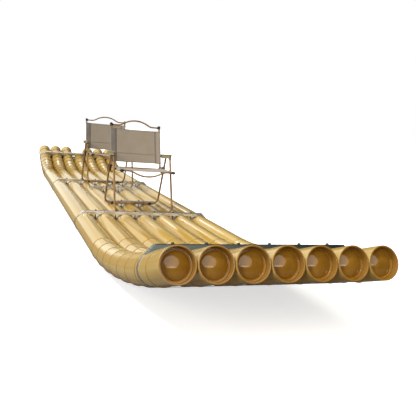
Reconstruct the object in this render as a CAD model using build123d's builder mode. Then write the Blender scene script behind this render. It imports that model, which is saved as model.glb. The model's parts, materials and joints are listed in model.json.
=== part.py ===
from build123d import *
import os
from math import acos, atan2, cos, degrees, hypot, radians, sin, sqrt, tan

# Seven-tube raft with steel crossbars and two folding armchairs.
# Millimetres, +X towards the bow, +Y to port, +Z up, origin under the middle of the raft.

# Tubes
tube_d = 160.0
tube_wall = 7.0
tube_count = 7
tube_pitch = 163.4
deck_len = 4209.5  # straight middle of every tube
bow_turns = (3.338, 3.037, 2.638, 2.304, 2.08, 2.087, 2.133, 1.915)  # degrees, deck first
bow_step = 197.8
bow_last = 194.1
stern_turn = 2.667  # degrees turned at each mitre
stern_mitres = 8
stern_step = 155.1
stern_last = 118.6
bead_w = 5.0  # weld bead round each mitre
bead_rise = 0.9
middle_tube = 4  # the one cut short at the stern
middle_past_bar = 36.0  # its end, behind the middle of the stern bar

# Domed end caps
cap_depth = 37.0  # mouth to the flat round the dome
cap_flange = 6.0
cap_lip = 7.0
cap_lip_rise = 5.0
cap_groove = 6.0
cap_rise = 16.0

# Crossbars: inverted channels that sit on the tube crowns
bar_w = 40.0
bar_sheet = 2.5
bar_bend_r = 5.0  # outside of the folded edges
bar_over_crown = 22.0
bow_bar_over_crown = 30.5
stern_bar_over_crown = 34.0
bar_scallop = 4.0
bar_spacing = 2080.0
fore_bar_back = 887.9  # fore bar, aft of the first bow mitre
bow_bar_mitres = 7  # mitres between the deck and the bar
bow_bar_past = 64.0
stern_bar_mitres = 6
stern_bar_past = 110.0
fold_short = 14.0  # folded bar end, short of where the strap meets the tube

# Straps round the whole pack of tubes
strap_w = 22.0
strap_t = 2.5

# Studs, nuts and valley saddles
stud_d = 8.0
stud_top_free = 9.0
nut_flats = 13.0
nut_h = 6.5
saddle_len = 40.0
saddle_t = 3.0
hole_gap = 0.3  # radial

# Short seat bars
seat_bar_len = 467.0
chair_bay = 566.0

# Chair frame
chair_tube_d = 16.0
rail_tube_d = 13.0
leg_out = 26.0  # leg line, outboard of the seat rail
leg_bend_r = 60.0
front_foot_x = -31.0
rear_foot_x = -515.0
front_leg_top_x = -215.0
rear_leg_top_x = -343.0
seat_half = 221.0
seat_rear_x = -415.0
seat_rear_z = 345.0  # over the tube crowns
seat_front_x = -2.0
seat_front_z = 359.0
post_lean = 20.3  # degrees back from upright
back_wave_rise = 47.0
back_wave_drop = 6.0
seat_wave_drop = 42.0
wave_flat = 44.0
wave_low_share = 0.3

# Chair fittings
arm_len = 272.0
arm_front_x = -200.0
arm_front_z = 464.0  # underside of the front end
arm_tilt = 4.1  # degrees, rising towards the front
arm_w = 28.0
arm_t = 34.0
arm_corner_r = 9.0
arm_lip = 3.0  # overhang of the top board
arm_lip_h = 9.0
arm_taper = 8.0  # degrees, below the lip
arm_bolt_r = 5.0
arm_bolt_down = 20.0  # its middle, below the armrest's top
arm_bolt_head = 3.0
leg_cap_len = 9.0
leg_cap_wall = 3.0
post_block_len = 14.0
post_block_h = 18.0
corner_r = 13.0
socket_len = 18.0  # corner joint's centre to its socket's edge
socket_wall = 2.5
pivot_r = 9.0
pivot_notch = 7.0  # cloth cut back round each pivot
hinge_out = 11.0  # rear hinge block, outboard of the leg's middle
hinge_depth = 24.0
hinge_up = 16.0
hinge_down = 44.0
clip_len = 30.0
clip_half = 172.0
clip_wall = 4.0

# Chair fabric
sleeve_wall = 2.0
sleeve_band = 46.0  # post to the seam where the sleeve closes on the panel
panel_t = 2.6
back_bottom = 52.0  # along the post, from the seat corner
back_len = 305.0
back_top_clear = 27.7  # cloth edge to the top corner joint
seat_inset = 26.0
seat_sag = 14.0

seat_gap = 0.3  # between a piece and what it rests on

tube_r = tube_d / 2
axis_z = strap_t + seat_gap + tube_r
crown_z = axis_z + tube_r
chair_r = chair_tube_d / 2
rail_r = rail_tube_d / 2
leg_half = seat_half + leg_out
outer_y = tube_pitch * (tube_count - 1) / 2
tube_places = [number * tube_pitch - outer_y for number in range(tube_count)]


def bend_points(start_x, turns, step, last, way):
    """Axis points of one end bend, in the tube's own XZ plane."""
    x, z, turn = start_x, axis_z, 0.0
    points = [(x, z)]
    for count, more in enumerate(turns, start=1):
        turn += radians(more)
        run = step if count < len(turns) else last
        x += way * run * cos(turn)
        z += run * sin(turn)
        points.append((x, z))
    return points


def end_reach(points):
    """How far the lower lip of a tube mouth reaches from midships."""
    (x1, z1), (x2, z2) = points[-2:]
    return abs(x2) + tube_r * (z2 - z1) / hypot(x2 - x1, z2 - z1)


def bow_bend(shift):
    return bend_points(shift + deck_len / 2, bow_turns, bow_step, bow_last, 1)


def stern_bend(shift):
    turns = (stern_turn,) * stern_mitres
    return bend_points(shift - deck_len / 2, turns, stern_step, stern_last, -1)


middle_shift = (end_reach(stern_bend(0)) - end_reach(bow_bend(0))) / 2
bow_path = bow_bend(middle_shift)
stern_path = stern_bend(middle_shift)


def seat_plane(path, mitre, past):
    """Plane on the tube axis, its X along the tube towards the bow."""
    (x1, z1), (x2, z2) = path[mitre - 1], path[mitre]
    run = hypot(x2 - x1, z2 - z1)
    way = 1 if x2 > x1 else -1
    along = Vector((x2 - x1) / run, 0, (z2 - z1) / run)
    origin = Vector(x1, 0, z1) + along * past
    return Plane(origin, x_dir=along * way, z_dir=(along * way).cross(Vector(0, 1, 0)))


fore_bar_x = bow_path[0][0] - fore_bar_back
bar_seats = {
    "bow": seat_plane(bow_path, bow_bar_mitres, bow_bar_past),
    "fore": Plane((fore_bar_x, 0, axis_z)),
    "aft": Plane((fore_bar_x - bar_spacing, 0, axis_z)),
    "stern": seat_plane(stern_path, stern_bar_mitres, stern_bar_past),
}
bar_heights = {
    "bow": bow_bar_over_crown,
    "fore": bar_over_crown,
    "aft": bar_over_crown,
    "stern": stern_bar_over_crown,
}
short_bar_seats = {
    "fore": Plane((fore_bar_x - chair_bay, 0, axis_z)),
    "aft": Plane((fore_bar_x - bar_spacing + chair_bay, 0, axis_z)),
}
chair_fronts = {"fore": fore_bar_x, "aft": fore_bar_x - bar_spacing + chair_bay}


def stern_end(number):
    """Stern bend of one tube; the middle one stops just behind the stern bar."""
    if number != middle_tube:
        return stern_path
    end = bar_seats["stern"].origin - bar_seats["stern"].x_dir * middle_past_bar
    return stern_path[:stern_bar_mitres] + [(end.X, end.Z)]


os.makedirs("parts", exist_ok=True)


def save(builder, name):
    builder.part.label = name
    export_step(builder.part, f"parts/{name}.step")


def mouth_plane(path, y):
    """Plane of a tube's open end, facing out."""
    (x1, z1), (x2, z2) = path[-2:]
    return Plane((x2, y, z2), x_dir=(0, 1, 0), z_dir=(x2 - x1, 0, z2 - z1))


def across(seat):
    """Section plane of a bar: X along the tubes, Y up, looking across the raft."""
    return Plane(seat.origin, x_dir=seat.x_dir, z_dir=-seat.y_dir)


def along(seat):
    """Section plane of the tube pack: X across the raft, Y up."""
    return Plane(seat.origin, x_dir=seat.y_dir, z_dir=seat.x_dir)


def mitre_planes(path, y):
    """Planes that halve the turn between each two runs of the tube."""
    planes = []
    for (x1, z1), (x2, z2), (x3, z3) in zip(path, path[1:], path[2:]):
        lean = (atan2(z2 - z1, x2 - x1) + atan2(z3 - z2, x3 - x2)) / 2
        planes.append(Plane((x2, y, z2), x_dir=(0, 1, 0), z_dir=(cos(lean), 0, sin(lean))))
    return planes


def tube(number, y):
    stern = stern_end(number)
    path = stern[::-1] + bow_path
    with BuildPart() as pipe:
        with BuildLine():
            Polyline([(x, y, z) for x, z in path])
        start = mouth_plane(stern, y)
        with BuildSketch(Plane(start.origin, z_dir=-start.z_dir)):
            Circle(tube_r)
        sweep(transition=Transition.RIGHT)
        for mitre in mitre_planes(path, y):
            with BuildSketch(mitre):
                Circle(tube_r + bead_rise)
            extrude(amount=bead_w / 2, both=True)
        for mouth in (mouth_plane(bow_path, y), start):
            with BuildSketch(mouth):
                Circle(tube_r - tube_wall)
            extrude(amount=-(cap_depth + cap_flange + seat_gap), mode=Mode.SUBTRACT)
    return pipe


def end_caps(mouths):
    """Recessed plugs: a raised lip against the bore, a flat groove and a dome."""
    bore_r = tube_r - tube_wall - seat_gap
    lip_r = bore_r - cap_lip
    dome_r = lip_r - cap_groove
    lip_top = cap_lip_rise - cap_depth
    floor = -cap_depth - cap_flange
    with BuildPart() as cap:
        with BuildSketch(Plane.XZ):
            with BuildLine():
                Polyline((dome_r, -cap_depth), (lip_r, -cap_depth), (lip_r, lip_top))
                Polyline((lip_r, lip_top), (bore_r, lip_top), (bore_r, floor))
                Polyline((bore_r, floor), (0, floor), (0, cap_rise - cap_depth))
                RadiusArc(
                    (dome_r, -cap_depth),
                    (0, cap_rise - cap_depth),
                    -(dome_r**2 + cap_rise**2) / (2 * cap_rise),
                )
            make_face()
        revolve(axis=Axis.Z)
    with BuildPart() as caps:
        with Locations(*[mouth.location for mouth in mouths]):
            add(cap.part)
    return caps


def strap_touch():
    """Across and up from the outer tube's axis to where the strap meets it at 45 degrees."""
    return (tube_r + seat_gap + strap_t / 2) / sqrt(2)


def fold_tip():
    back = fold_short / sqrt(2)
    return outer_y + strap_touch() - back, strap_touch() + back


def bar_route(over_crown):
    """Middle line of a bar's web, folded down at 45 degrees at both ends."""
    web = tube_r + over_crown - bar_sheet / 2
    knee = outer_y + 2 * strap_touch() - web
    tip_y, tip_z = fold_tip()
    return [(-tip_y, tip_z), (-knee, web), (knee, web), (tip_y, tip_z)]


def seat_bar_route():
    web = tube_r + bar_over_crown - bar_sheet / 2
    return [(-seat_bar_len / 2, web), (seat_bar_len / 2, web)]


def channel(seat, route, over_crown, stud_places):
    """Inverted channel, scalloped where it sits on the tubes and drilled for its studs."""
    high = tube_r + over_crown
    side = (bar_w - bar_sheet) / 2
    depth = over_crown + bar_scallop - bar_sheet / 2
    with BuildPart() as bar:
        with BuildLine(along(seat)) as middle:
            Polyline(route)
        start, toward = middle.wire() @ 0, middle.wire() % 0
        with BuildSketch(Plane(start, x_dir=seat.x_dir, z_dir=toward)):
            with BuildLine():
                FilletPolyline(
                    (-side, depth),
                    (-side, 0),
                    (side, 0),
                    (side, depth),
                    radius=bar_bend_r - bar_sheet / 2,
                )
            trace(line_width=bar_sheet)
        sweep(transition=Transition.RIGHT)
        with BuildSketch(along(seat)):
            with GridLocations(tube_pitch, 1, tube_count, 1):
                Circle(tube_r + seat_gap)
        extrude(amount=bar_w, both=True, mode=Mode.SUBTRACT)
        with BuildSketch(seat.offset(high)):
            with Locations(*[(0, y) for y in stud_places]):
                Circle(stud_d / 2 + hole_gap)
        extrude(amount=-2 * bar_sheet, mode=Mode.SUBTRACT)
    return bar


def strap(seat):
    """Band welded to the bar's folded ends, round under the whole pack of tubes."""
    mid_r = tube_r + seat_gap + strap_t / 2
    touch = strap_touch()
    tip_y, tip_z = fold_tip()
    with BuildPart() as band:
        with BuildSketch(along(seat)):
            with BuildLine():
                for way in (-1, 1):
                    Line((way * tip_y, tip_z), (way * (outer_y + touch), touch))
                    ThreePointArc(
                        (way * (outer_y + touch), touch),
                        (way * (outer_y + mid_r), 0),
                        (way * outer_y, -mid_r),
                    )
                Line((-outer_y, -mid_r), (outer_y, -mid_r))
            trace(line_width=strap_t)
        extrude(amount=strap_w / 2, both=True)
    return band


def studs(seat, over_crown, places):
    """Threaded studs, each with a nut on the bar and a nut down in the saddle."""
    valley = saddle_floor()
    web_top = tube_r + over_crown
    nut_low = valley + saddle_t * sqrt(2) + nut_flats / sqrt(3) + seat_gap
    with BuildPart() as bolts:
        with BuildSketch(seat.offset(valley)):
            with Locations(*[(0, y) for y in places]):
                Circle(stud_d / 2)
        extrude(amount=web_top + stud_top_free - valley)
        for height in (nut_low, web_top + seat_gap):
            with BuildSketch(seat.offset(height)):
                with Locations(*[(0, y) for y in places]):
                    RegularPolygon(nut_flats / 2, 6, major_radius=False)
            extrude(amount=nut_h)
    return bolts


def saddle_floor():
    """Height over the tube axes where two 45-degree tangents meet in a valley."""
    return (tube_r + seat_gap) * sqrt(2) - tube_pitch / 2


def saddles(seat, places):
    """Bent plates that lie in the valleys, tangent to both tubes."""
    floor = saddle_floor()
    tip = tube_r - bar_scallop - seat_gap
    thick = saddle_t * sqrt(2)
    run = tip - floor - thick
    with BuildPart() as plates:
        with BuildSketch(along(seat)):
            for y in places:
                with Locations((y, floor)):
                    Polygon(
                        (0, 0),
                        (run + saddle_t / sqrt(2), run + saddle_t / sqrt(2)),
                        (run, run + thick),
                        (0, thick),
                        (-run, run + thick),
                        (-run - saddle_t / sqrt(2), run + saddle_t / sqrt(2)),
                        align=None,
                    )
        extrude(amount=saddle_len / 2, both=True)
        with BuildSketch(seat.offset(floor - saddle_t)):
            with Locations(*[(0, y) for y in places]):
                Circle(stud_d / 2 + hole_gap)
        extrude(amount=4 * saddle_t, mode=Mode.SUBTRACT)
    return plates


def chair_point(front_x, x, y, over_crown):
    return Vector(front_x + x, y, crown_z + over_crown)


def arm_plane(front_x):
    """Underside of the armrests, its origin at their front ends."""
    tilt = radians(arm_tilt)
    origin = chair_point(front_x, arm_front_x, 0, arm_front_z)
    return Plane(origin, x_dir=(cos(tilt), 0, sin(tilt)), z_dir=(-sin(tilt), 0, cos(tilt)))


def arm_floor(x):
    """Height of the armrests' underside over the tube crowns."""
    return arm_front_z + (x - arm_front_x) * tan(radians(arm_tilt))


def leg_line(foot_x, top_x):
    return (foot_x, chair_r + seat_gap), (top_x, arm_floor(top_x))


def leg_frame(front_x, foot_x, top_x):
    """U-shaped tube: two legs up from a foot rail that lies on the tube crowns."""
    (low_x, low_z), (high_x, high_z) = leg_line(foot_x, top_x)
    foot = chair_point(front_x, low_x, 0, low_z)
    rise = chair_point(front_x, high_x, 0, high_z) - foot
    tip = rise.length + chair_tube_d  # trimmed to the armrest below
    plane = Plane(foot, x_dir=(0, 1, 0), z_dir=Vector(0, 1, 0).cross(rise))
    with BuildPart() as frame:
        with BuildLine(plane) as route:
            FilletPolyline(
                (-leg_half, tip),
                (-leg_half, 0),
                (leg_half, 0),
                (leg_half, tip),
                radius=leg_bend_r,
            )
        with BuildSketch(Plane(route.wire() @ 0, z_dir=route.wire() % 0)):
            Circle(chair_r)
        sweep()
        split(bisect_by=arm_plane(front_x).offset(-seat_gap), keep=Keep.BOTTOM)
    return frame


def seat_rail_ends(front_x, way):
    rear = chair_point(front_x, seat_rear_x, way * seat_half, seat_rear_z)
    front = chair_point(front_x, seat_front_x, way * seat_half, seat_front_z)
    return rear, front


def front_corner(front_x, way):
    rear, front = seat_rail_ends(front_x, way)
    return front + (front - rear).normalized() * corner_r


def post_ends(front_x, way):
    """Posts are as long as the back fabric needs between its two corner joints."""
    foot = chair_point(front_x, seat_rear_x, way * seat_half, seat_rear_z)
    length = back_bottom + back_len + back_top_clear + corner_r
    lean = radians(post_lean)
    return foot, foot + Vector(-sin(lean), 0, cos(lean)) * length


def rods(runs):
    """Straight round tubes, each from a start to an end with its radius."""
    with BuildPart() as bundle:
        for start, end, radius in runs:
            with BuildSketch(Plane(start, z_dir=end - start)):
                Circle(radius)
            extrude(amount=(end - start).length)
    return bundle


def seat_rails(front_x):
    """Side rails of the seat and the straight rail across its back."""
    inner = seat_half - corner_r - seat_gap
    runs = []
    for way in (-1, 1):
        rear, front = seat_rail_ends(front_x, way)
        along_rail = (front - rear).normalized()
        runs.append((rear + along_rail * (corner_r + seat_gap), front, chair_r))
    runs.append((Vector(rear.X, -inner, rear.Z), Vector(rear.X, inner, rear.Z), rail_r))
    return rods(runs)


def back_posts(front_x):
    runs = []
    for way in (-1, 1):
        foot, top = post_ends(front_x, way)
        inset = (top - foot).normalized() * (corner_r + seat_gap)
        runs.append((foot + inset, top - inset, chair_r))
    return rods(runs)


def wavy_rail(centre, flat_drop, rise):
    """Cross tube with level ends and one long wave to its middle."""
    reach = seat_half - corner_r - seat_gap
    wave = reach - wave_flat
    side = 1 if rise > 0 else -1
    turn = 2 * degrees(atan2(abs(rise), wave))
    radii = wave / sin(radians(turn))
    low_r = radii * wave_low_share
    high_r = radii - low_r
    plane = Plane(centre + Vector(0, 0, flat_drop), x_dir=(0, 1, 0), z_dir=(1, 0, 0))
    with BuildPart() as rail:
        with BuildLine(plane) as route:
            lead = Line((-reach, 0), (-wave, 0))
            rise_1 = JernArc(lead @ 1, lead % 1, low_r, side * turn)
            over_1 = JernArc(rise_1 @ 1, rise_1 % 1, high_r, -side * turn)
            over_2 = JernArc(over_1 @ 1, over_1 % 1, high_r, -side * turn)
            rise_2 = JernArc(over_2 @ 1, over_2 % 1, low_r, side * turn)
            Line(rise_2 @ 1, (reach, 0))
        with BuildSketch(Plane(route.wire() @ 0, z_dir=route.wire() % 0)):
            Circle(rail_r)
        sweep()
    return rail


def joints(front_x):
    """Black moulded corners with sockets; a hinge block behind each rear leg."""
    rail_side = seat_half + chair_r + seat_gap
    hinge_side = leg_half + hinge_out
    with BuildPart() as blocks:
        for way in (-1, 1):
            crossing, lean = pivot_places(front_x, way)[1]
            behind = Plane(crossing, x_dir=(1, 0, -lean.X), z_dir=lean)
            with BuildSketch(behind.offset(-hinge_down)):
                with Locations((-hinge_depth / 2, way * ((rail_side + hinge_side) / 2 - leg_half))):
                    Rectangle(hinge_depth, hinge_side - rail_side)
            extrude(amount=hinge_down + hinge_up)
            with BuildSketch(behind):
                Circle(chair_r + seat_gap)
            extrude(amount=hinge_down + hinge_up, both=True, mode=Mode.SUBTRACT)
            rear, front = seat_rail_ends(front_x, way)
            foot, top = post_ends(front_x, way)
            along_rail = (front - rear).normalized()
            up_post = (top - foot).normalized()
            inward = Vector(0, -way, 0)
            corner = front_corner(front_x, way)
            rail_end = top - Vector(0, 0, back_wave_drop)
            with Locations(rear, top, corner):
                Sphere(corner_r)
            for place, toward, radius, start in (
                (rear, along_rail, chair_r, 0),
                (rear, up_post, chair_r, 0),
                (rear, inward, rail_r, 0),
                (top, -up_post, chair_r, 0),
                (rail_end, inward, rail_r, chair_r + seat_gap),
                (corner, -along_rail, chair_r, 0),
                (corner, inward, rail_r, 0),
            ):
                outer = radius + seat_gap + socket_wall
                with BuildSketch(Plane(place + toward * start, z_dir=toward)):
                    Circle(outer)
                extrude(amount=corner_r - start)
                with BuildSketch(Plane(place + toward * corner_r, z_dir=toward)):
                    Circle(outer)
                    Circle(radius + seat_gap, mode=Mode.SUBTRACT)
                extrude(amount=socket_len - corner_r)
    return blocks


def foot_clips(front_x):
    """Black clips round the rear foot rail."""
    foot = chair_point(front_x, rear_foot_x, 0, chair_r + seat_gap)
    inner = chair_r + seat_gap
    with BuildPart() as clips:
        for way in (-1, 1):
            middle = foot + Vector(0, way * clip_half, 0)
            with BuildSketch(Plane(middle, x_dir=(1, 0, 0), z_dir=(0, -1, 0))):
                Circle(inner + clip_wall)
                Circle(inner, mode=Mode.SUBTRACT)
            extrude(amount=clip_len / 2, both=True)
        split(bisect_by=Plane.XY.offset(crown_z + seat_gap), keep=Keep.TOP)
    return clips


def armrests(front_x):
    """Boards with a lip round the top, narrowing below it."""
    lip = arm_plane(front_x).offset(arm_t - arm_lip_h)
    with BuildPart() as arm:
        with BuildSketch(lip):
            with Locations((-arm_len / 2, 0)):
                RectangleRounded(arm_len, arm_w, arm_corner_r)
        extrude(amount=arm_lip_h)
        fillet(arm.faces().sort_by(Axis.Z)[-1].edges(), arm_lip_h / 4)
        with BuildSketch(Plane(lip.origin, x_dir=lip.x_dir, z_dir=-lip.z_dir)):
            with Locations((-arm_len / 2, 0)):
                RectangleRounded(
                    arm_len - 2 * arm_lip, arm_w - 2 * arm_lip, arm_corner_r - arm_lip
                )
        extrude(amount=arm_t - arm_lip_h, taper=arm_taper)
    with BuildPart() as arms:
        with Locations((0, -leg_half, 0), (0, leg_half, 0)):
            add(arm.part)
    return arms


def arm_brackets(front_x):
    """Black fittings: a bolt on each armrest's nose, a leg cap and a block to the post."""
    floor = arm_plane(front_x)
    taper = radians(arm_taper)
    nose_out = floor.x_dir * cos(taper) - floor.z_dir * sin(taper)
    nose_back = arm_lip + (arm_bolt_down - arm_lip_h) * tan(taper)
    bolt_up = floor.z_dir * (arm_t - arm_bolt_down)
    bolt = floor.origin - floor.x_dir * nose_back + bolt_up + nose_out * seat_gap
    sleeve = seat_half + chair_r + sleeve_wall + 2 * seat_gap
    side = leg_half - arm_w / 2 + arm_lip - seat_gap
    post_x = seat_rear_x - (arm_floor(seat_rear_x) - seat_rear_z) * tan(radians(post_lean))
    post_along = (post_x - arm_front_x) / cos(radians(arm_tilt))
    low, high = leg_line(front_foot_x, front_leg_top_x)
    rise = Vector(high[0] - low[0], 0, high[1] - low[1])
    with BuildPart() as brackets:
        for way in (-1, 1):
            with BuildSketch(Plane(bolt + Vector(0, way * leg_half, 0), z_dir=nose_out)):
                Circle(arm_bolt_r)
            extrude(amount=arm_bolt_head)
            with BuildSketch(floor.offset(arm_t - arm_lip_h - seat_gap)):
                with Locations((post_along, way * (sleeve + side) / 2)):
                    Rectangle(post_block_len, side - sleeve)
            extrude(amount=-post_block_h)
            head = chair_point(front_x, high[0], way * leg_half, high[1])
            with BuildPart() as leg_cap:
                with BuildSketch(Plane(head, z_dir=-rise)):
                    Circle(chair_r + seat_gap + leg_cap_wall)
                    Circle(chair_r + seat_gap, mode=Mode.SUBTRACT)
                extrude(amount=leg_cap_len, both=True)
                split(bisect_by=floor.offset(-seat_gap), keep=Keep.BOTTOM)
    return brackets


def pivot_places(front_x, way):
    """Where each leg passes its seat rail, with the leg's direction."""
    rear, front = seat_rail_ends(front_x, way)
    rail_slope = (front.Z - rear.Z) / (front.X - rear.X)
    places = []
    for foot_x, top_x in ((front_foot_x, front_leg_top_x), (rear_foot_x, rear_leg_top_x)):
        (low_x, low_z), (high_x, high_z) = leg_line(foot_x, top_x)
        leg_slope = (high_x - low_x) / (high_z - low_z)
        rail_z = seat_rear_z + (low_x - seat_rear_x) * rail_slope
        height = (rail_z - low_z * leg_slope * rail_slope) / (1 - leg_slope * rail_slope)
        x = low_x + (height - low_z) * leg_slope
        places.append((chair_point(front_x, x, way * leg_half, height), Vector(leg_slope, 0, 1)))
    return places


def leg_pivots(front_x):
    """Black bosses between the front legs and the seat rails."""
    inner = chair_r + seat_gap
    with BuildPart() as pivots:
        for way in (-1, 1):
            place = pivot_places(front_x, way)[0][0]
            rail = Vector(place.X, way * (seat_half + inner), place.Z)
            with BuildSketch(Plane(rail, z_dir=(0, way, 0))):
                Circle(pivot_r)
            extrude(amount=leg_half - seat_half - 2 * inner)
    return pivots


def back_fabric(front_x):
    """Panel between the posts; each side folds round its post and narrows to a seam."""
    foot, top = post_ends(front_x, 1)
    lean = (top - foot).normalized()
    start = Vector(foot.X, 0, foot.Z) + lean * back_bottom
    section = Plane(start, x_dir=(0, 1, 0), z_dir=lean)
    inner = chair_r + seat_gap
    outer = inner + sleeve_wall
    half = panel_t / 2
    touch = acos(outer / hypot(sleeve_band, half)) + atan2(half, sleeve_band)
    touch_y, touch_z = outer * cos(touch), outer * sin(touch)
    with BuildPart() as cloth:
        with BuildSketch(section):
            Rectangle(2 * (seat_half - sleeve_band), panel_t)
            for way in (-1, 1):
                Polygon(
                    (way * (seat_half - touch_y), touch_z),
                    (way * (seat_half - sleeve_band), half),
                    (way * (seat_half - sleeve_band), -half),
                    (way * (seat_half - touch_y), -touch_z),
                    align=None,
                )
            with Locations((-seat_half, 0), (seat_half, 0)):
                Circle(outer)
                Circle(inner, mode=Mode.SUBTRACT)
        extrude(amount=back_len)
    return cloth


def seat_fabric(front_x):
    rear, front = seat_rail_ends(front_x, 1)
    along_rail = (front - rear).normalized()
    start = Vector(rear.X, 0, rear.Z) + along_rail * seat_inset
    length = (front - rear).length - seat_inset - corner_r
    section = Plane(start, x_dir=(0, 1, 0), z_dir=along_rail)
    inner = chair_r + seat_gap
    top = inner + sleeve_wall
    with BuildPart() as cloth:
        with BuildSketch(section):
            with BuildLine():
                upper = ThreePointArc((-seat_half, top), (0, top - seat_sag), (seat_half, top))
                Line(upper @ 1, (seat_half, top - panel_t))
                ThreePointArc(
                    (seat_half, top - panel_t),
                    (0, top - panel_t - seat_sag),
                    (-seat_half, top - panel_t),
                )
                Line((-seat_half, top - panel_t), upper @ 0)
            make_face()
            with Locations((-seat_half, 0), (seat_half, 0)):
                Circle(top)
                Circle(inner, mode=Mode.SUBTRACT)
        extrude(amount=length)
        for way in (-1, 1):
            for place, lean in pivot_places(front_x, way):
                with Locations((place.X, way * (seat_half + inner), place.Z)):
                    notch = 2 * (pivot_r + pivot_notch)
                    Box(notch, 2 * inner, notch, mode=Mode.SUBTRACT)
    return cloth


for number, y in enumerate(tube_places, start=1):
    save(tube(number, y), f"tube_{number}")
bow_mouths = [mouth_plane(bow_path, y) for y in tube_places]
stern_mouths = [mouth_plane(stern_end(n), y) for n, y in enumerate(tube_places, start=1)]
save(end_caps(bow_mouths), "end_caps_bow")
save(end_caps(stern_mouths), "end_caps_stern")

valleys = [y + tube_pitch / 2 for y in tube_places[:-1]]
middle_valleys = [-tube_pitch / 2, tube_pitch / 2]
for name, seat in bar_seats.items():
    height = bar_heights[name]
    save(channel(seat, bar_route(height), height, valleys), f"crossbar_{name}")
    save(strap(seat), f"strap_{name}")
    save(studs(seat, height, valleys), f"studs_{name}")
    save(saddles(seat, valleys), f"saddles_{name}")
for name, seat in short_bar_seats.items():
    short = channel(seat, seat_bar_route(), bar_over_crown, middle_valleys)
    save(short, f"seat_bar_{name}")
    save(studs(seat, bar_over_crown, middle_valleys), f"seat_studs_{name}")
    save(saddles(seat, middle_valleys), f"seat_saddles_{name}")

for name, front_x in chair_fronts.items():
    save(leg_frame(front_x, front_foot_x, front_leg_top_x), f"chair_{name}_front_legs")
    save(leg_frame(front_x, rear_foot_x, rear_leg_top_x), f"chair_{name}_rear_legs")
    save(seat_rails(front_x), f"chair_{name}_seat_rails")
    save(back_posts(front_x), f"chair_{name}_back_posts")
    post_top = post_ends(front_x, 0)[1]
    save(wavy_rail(post_top, -back_wave_drop, back_wave_rise), f"chair_{name}_back_rail")
    seat_front = front_corner(front_x, 0)
    save(wavy_rail(seat_front, 0, -seat_wave_drop), f"chair_{name}_front_rail")
    save(joints(front_x), f"chair_{name}_joints")
    save(foot_clips(front_x), f"chair_{name}_foot_clips")
    save(leg_pivots(front_x), f"chair_{name}_leg_pivots")
    save(armrests(front_x), f"chair_{name}_armrests")
    save(arm_brackets(front_x), f"chair_{name}_arm_brackets")
    save(back_fabric(front_x), f"chair_{name}_back_fabric")
    save(seat_fabric(front_x), f"chair_{name}_seat_fabric")
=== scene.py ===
import json
import math

import bmesh
import bpy
from mathutils import Matrix, Vector


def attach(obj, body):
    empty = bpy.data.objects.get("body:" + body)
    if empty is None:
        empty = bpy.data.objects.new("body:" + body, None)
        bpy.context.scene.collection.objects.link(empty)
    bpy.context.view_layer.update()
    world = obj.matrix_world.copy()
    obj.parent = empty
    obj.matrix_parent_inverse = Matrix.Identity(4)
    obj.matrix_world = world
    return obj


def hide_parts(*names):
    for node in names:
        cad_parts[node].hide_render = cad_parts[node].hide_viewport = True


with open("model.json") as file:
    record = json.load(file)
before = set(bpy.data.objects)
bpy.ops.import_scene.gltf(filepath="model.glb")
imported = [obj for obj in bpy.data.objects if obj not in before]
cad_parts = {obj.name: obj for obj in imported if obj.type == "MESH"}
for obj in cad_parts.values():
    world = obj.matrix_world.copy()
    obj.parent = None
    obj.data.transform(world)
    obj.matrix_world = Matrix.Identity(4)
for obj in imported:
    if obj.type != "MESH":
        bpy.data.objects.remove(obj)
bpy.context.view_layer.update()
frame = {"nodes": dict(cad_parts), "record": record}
nodes = frame["nodes"]
print("frame loaded with", len(nodes), "nodes")


# Shader building


def newMaterial(name, roughness, **values):
    material = bpy.data.materials.new(name)
    material.use_nodes = True
    tree = material.node_tree
    shader = tree.nodes["Principled BSDF"]
    shader.inputs["Roughness"].default_value = roughness
    for socket, value in values.items():
        shader.inputs[socket].default_value = value
    return material, tree, shader


def addNode(tree, kind, inputs=None, **settings):
    node = tree.nodes.new(kind)
    for name, value in settings.items():
        setattr(node, name, value)
    for socket, value in (inputs or {}).items():
        if isinstance(value, bpy.types.NodeSocket):
            tree.links.new(value, node.inputs[socket])
        else:
            node.inputs[socket].default_value = value
    return node


def scaled(tree, vector, scale):
    return addNode(tree, "ShaderNodeMapping", {"Vector": vector, "Scale": scale}).outputs[0]


def noise(tree, vector, scale, detail=3.0, roughness=0.55):
    values = {"Vector": vector, "Scale": scale, "Detail": detail, "Roughness": roughness}
    return addNode(tree, "ShaderNodeTexNoise", values).outputs["Fac"]


def ramp(tree, factor, *stops):
    node = addNode(tree, "ShaderNodeValToRGB", {"Fac": factor})
    while len(node.color_ramp.elements) < len(stops):
        node.color_ramp.elements.new(0.5)
    for element, (place, colour) in zip(node.color_ramp.elements, stops):
        element.position = place
        element.color = (*colour, 1.0)
    return node.outputs["Color"]


def blendColour(tree, factor, first, second, kind="MIX"):
    node = tree.nodes.new("ShaderNodeMix")
    node.data_type = "RGBA"
    node.blend_type = kind
    for place, value in ((0, factor), (6, first), (7, second)):
        socket = node.inputs[place]
        if isinstance(value, bpy.types.NodeSocket):
            tree.links.new(value, socket)
        elif isinstance(value, (int, float)):
            socket.default_value = value
        else:
            socket.default_value = (*value, 1.0)
    return node.outputs[2]


def bump(tree, shader, height, distance, strength=1.0):
    values = {"Height": height, "Distance": distance, "Strength": strength}
    node = addNode(tree, "ShaderNodeBump", values)
    tree.links.new(node.outputs[0], shader.inputs["Normal"])


def spread(tree, factor, low, high):
    values = {"Value": factor, "To Min": low, "To Max": high}
    return addNode(tree, "ShaderNodeMapRange", values).outputs[0]


def attribute(tree, name, output="Fac"):
    return addNode(tree, "ShaderNodeAttribute", attribute_name=name).outputs[output]


def objectPlace(tree):
    return addNode(tree, "ShaderNodeTexCoord").outputs["Object"]


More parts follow.
